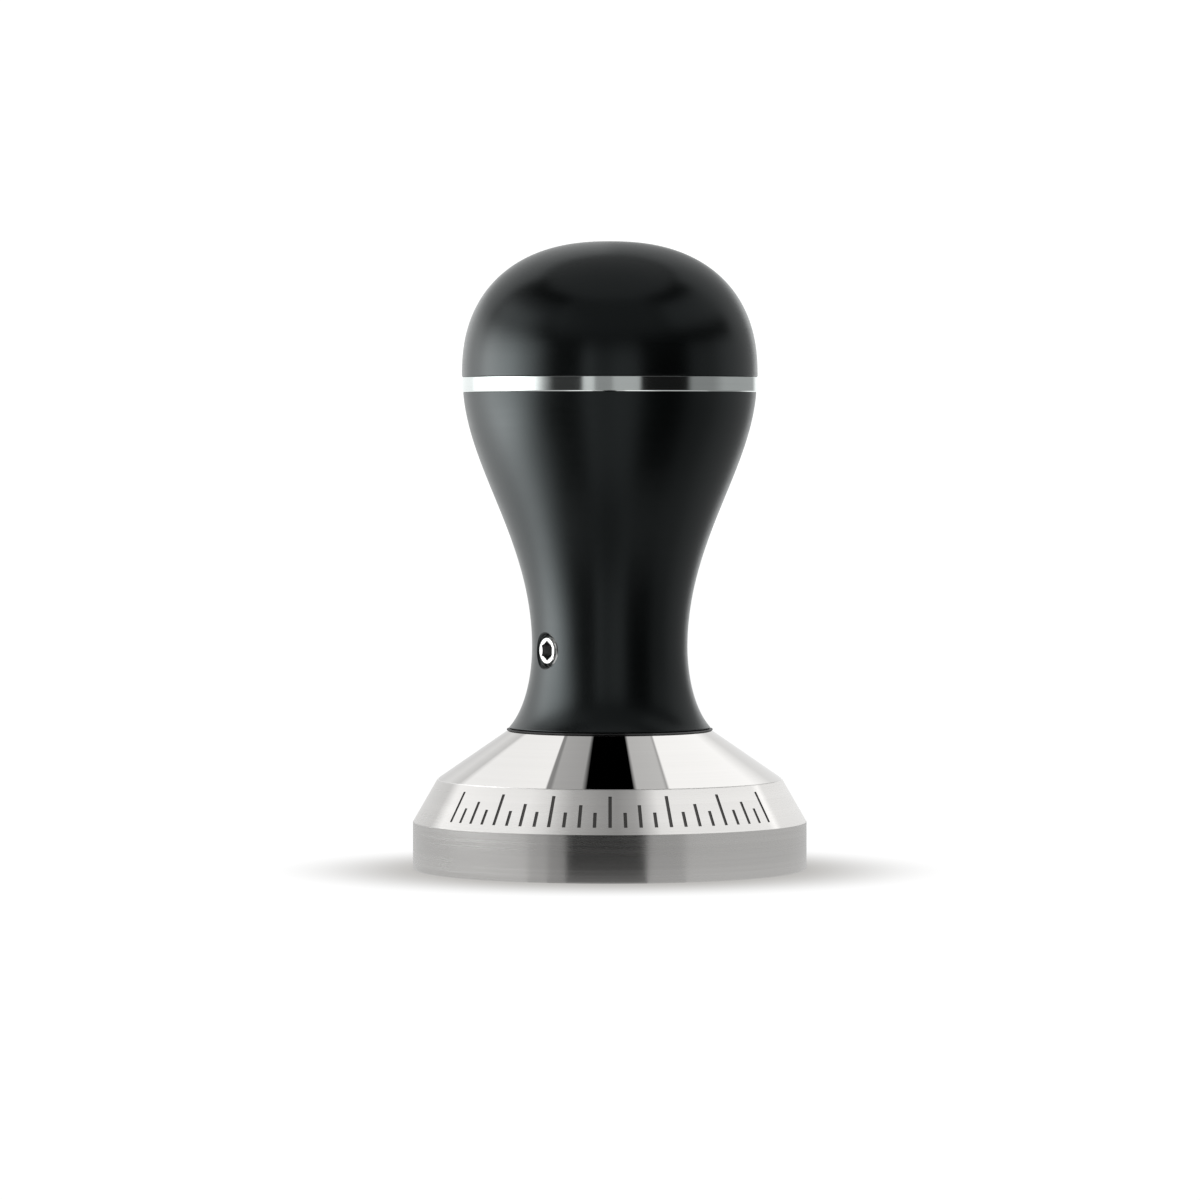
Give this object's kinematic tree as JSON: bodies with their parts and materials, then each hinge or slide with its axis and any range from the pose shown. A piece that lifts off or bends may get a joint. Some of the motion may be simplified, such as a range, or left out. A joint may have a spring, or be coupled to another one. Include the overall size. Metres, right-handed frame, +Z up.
{
  "type": "espresso tamper",
  "caption": "Hand tamper for espresso: a heavy flat steel piston under a waisted black handle with a domed top, a bright ring and a clamping screw that holds the handle's height.",
  "frame": {"origin": "centre of the flat sole, on the surface that the tamper stands on", "axes": "+Z up the tamper's axis, from the sole to the dome; -Y is the side with the middle of the tick scale; +X is to the right of that side"},
  "size_m": [0.0584, 0.0584, 0.0931],
  "materials": {
    "turned_stainless": "polished cone and band, brushed wall",
    "dark_polymer": "matt",
    "bright_stainless": "fine turned",
    "black_anodised": "satin black anodised",
    "polished_ring": "polished, with fine turning lines",
    "zinc_steel": "bright zinc",
    "bright_screw": "bright",
    "pad_brass": "turned"
  },
  "bodies": {
    "base": {"tamper_base": "turned_stainless"},
    "washer": {"seat_washer": "dark_polymer"},
    "stem": {"base_stem": "bright_stainless"},
    "handle": {"handle_body": "black_anodised", "accent_ring": "polished_ring", "handle_cap": "black_anodised", "cap_screw": "zinc_steel", "lock_washer": "zinc_steel"},
    "pad": {"clamp_pad": "pad_brass"},
    "screw": {"set_screw": "bright_screw"}
  },
  "joints": [
    {"name": "base_unscrew_lift", "type": "slide", "parent": "base", "child": "washer", "axis": [0, 0, 1], "range_m": [0, 0.009]},
    {"name": "stem_unscrew", "type": "hinge", "parent": "washer", "child": "stem", "pos_m": [0, 0, 0], "axis": [0, 0, 1], "range_deg": [0, 2592]},
    {"name": "handle_height", "type": "slide", "parent": "stem", "child": "handle", "axis": [0, 0, 1], "range_m": [0, 0.012]},
    {"name": "set_screw_travel", "type": "slide", "parent": "handle", "child": "pad", "axis": [-0.8192, -0.5736, 0], "range_m": [0, 0.004]},
    {"name": "set_screw_turn", "type": "hinge", "parent": "pad", "child": "screw", "pos_m": [0, 0, 0.0326], "axis": [-0.8192, -0.5736, 0], "range_deg": [0, 1800]}
  ],
  "couplings": [
    {"joint": "base_unscrew_lift", "follows": "stem_unscrew", "m_per_rad": 0.00019894},
    {"joint": "set_screw_turn", "follows": "set_screw_travel", "rad_per_m": 7854}
  ]
}
